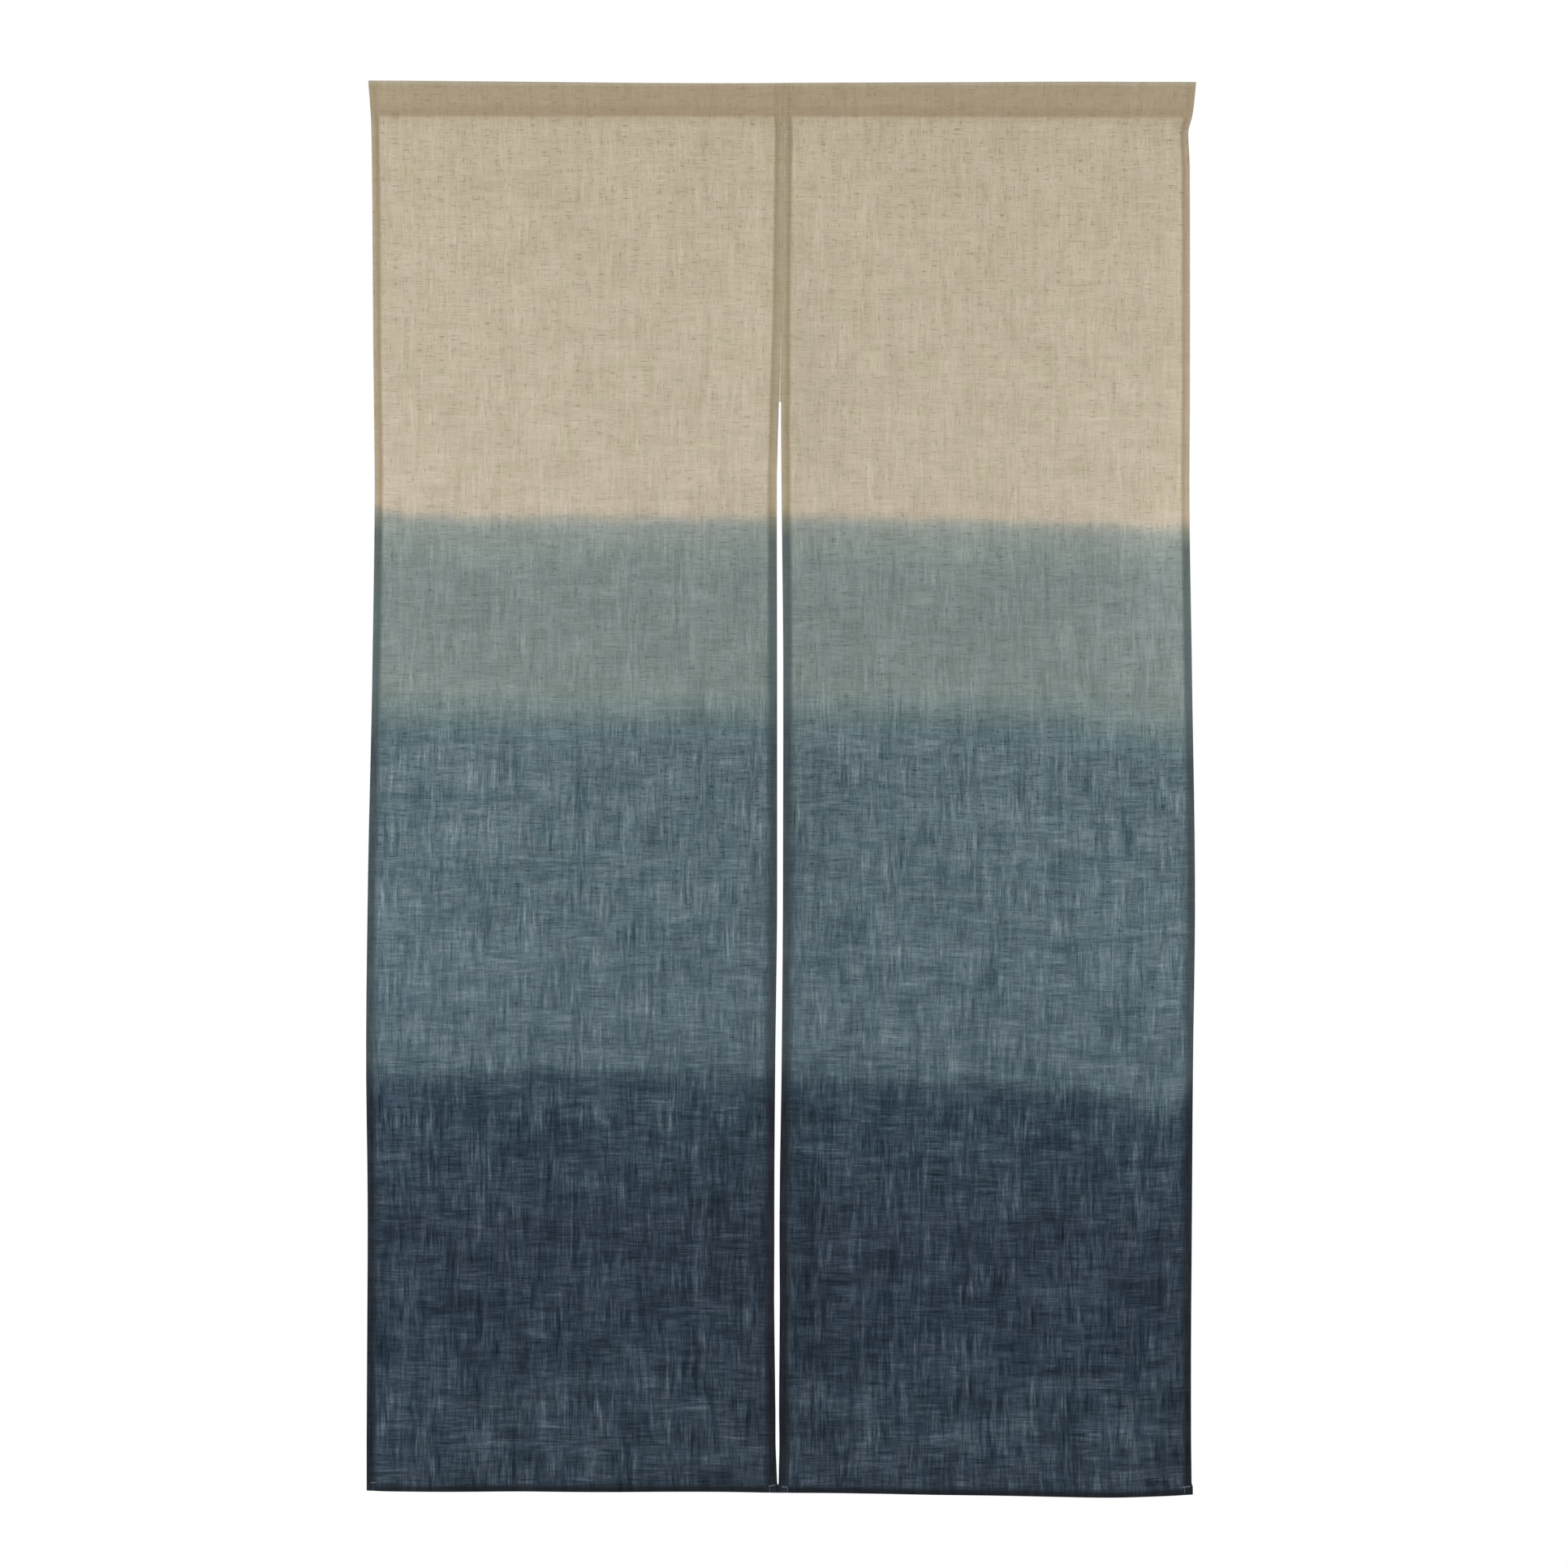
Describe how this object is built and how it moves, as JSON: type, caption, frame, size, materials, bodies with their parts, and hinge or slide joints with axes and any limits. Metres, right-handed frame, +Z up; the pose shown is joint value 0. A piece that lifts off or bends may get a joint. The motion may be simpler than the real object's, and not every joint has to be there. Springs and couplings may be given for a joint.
{
  "type": "noren curtain",
  "caption": "Split linen doorway curtain with a rod pocket along its top, a long centre slit, narrow hems and dip-dyed bands from natural linen to deep navy.",
  "frame": {"origin": "middle of the top edge, where the cloth turns over the rod, in the middle of the pocket's depth", "axes": "+Z up along the drop, +X to the right across the curtain as seen from its face, face towards -Y"},
  "size_m": [0.8859, 0.0172, 1.5132],
  "materials": {
    "dip_dyed_linen": "matte slub linen, dip-dyed in level bands",
    "natural_linen": "matte undyed slub linen"
  },
  "bodies": {
    "root": {"panel_left": "dip_dyed_linen", "panel_right": "dip_dyed_linen", "pocket_left": "natural_linen", "pocket_right": "natural_linen", "slit_stay": "natural_linen"}
  },
  "joints": []
}
